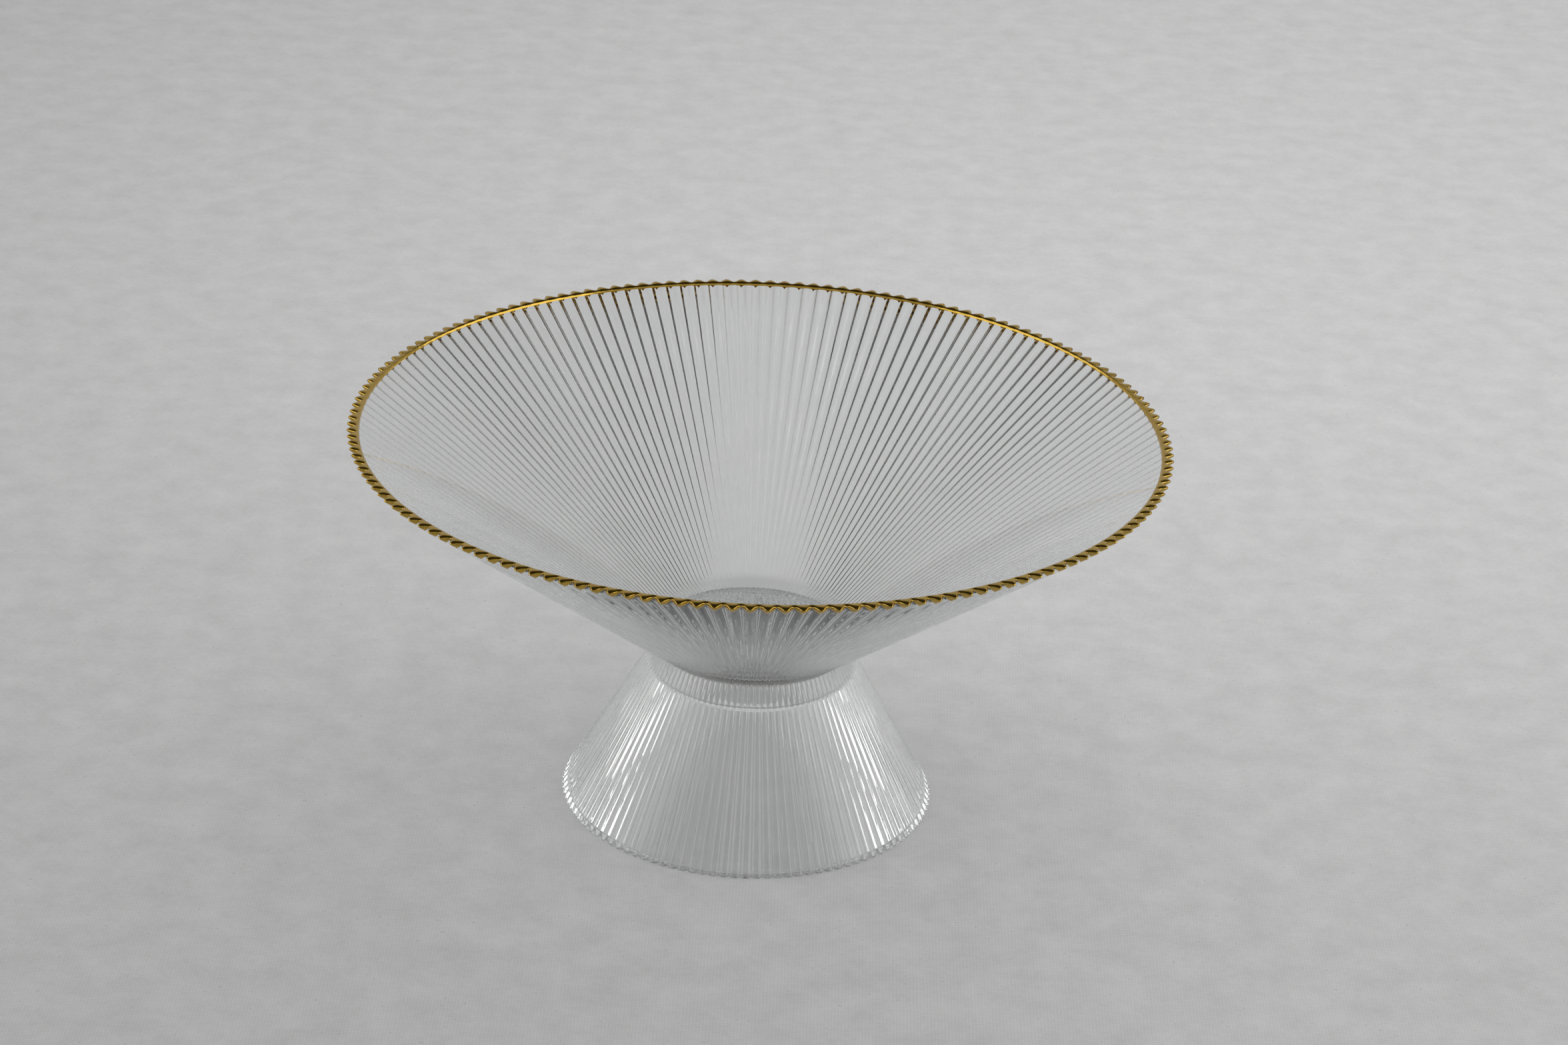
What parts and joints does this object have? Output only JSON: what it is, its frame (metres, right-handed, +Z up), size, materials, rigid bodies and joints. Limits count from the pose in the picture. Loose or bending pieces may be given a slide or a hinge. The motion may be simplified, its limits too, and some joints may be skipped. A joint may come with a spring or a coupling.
{
  "type": "footed glass bowl",
  "caption": "Wide conical bowl of clear ribbed glass on a hollow ribbed glass foot, with a gilded scalloped lip.",
  "frame": {"origin": "centre of the foot's ground ring, on the surface that the bowl stands on", "axes": "+Z up, along the axis of the foot and of the bowl; X and Y level"},
  "size_m": [0.28, 0.28, 0.139],
  "materials": {
    "clear_glass": "fire-polished, clear, faint aqua tint in thick places",
    "clear_bond": "clear cured adhesive",
    "bright_gold": "bright liquid gold, burnished"
  },
  "bodies": {
    "root": {"bowl": "clear_glass", "foot": "clear_glass", "bond_disc": "clear_bond", "lip_gilding": "bright_gold"}
  },
  "joints": []
}
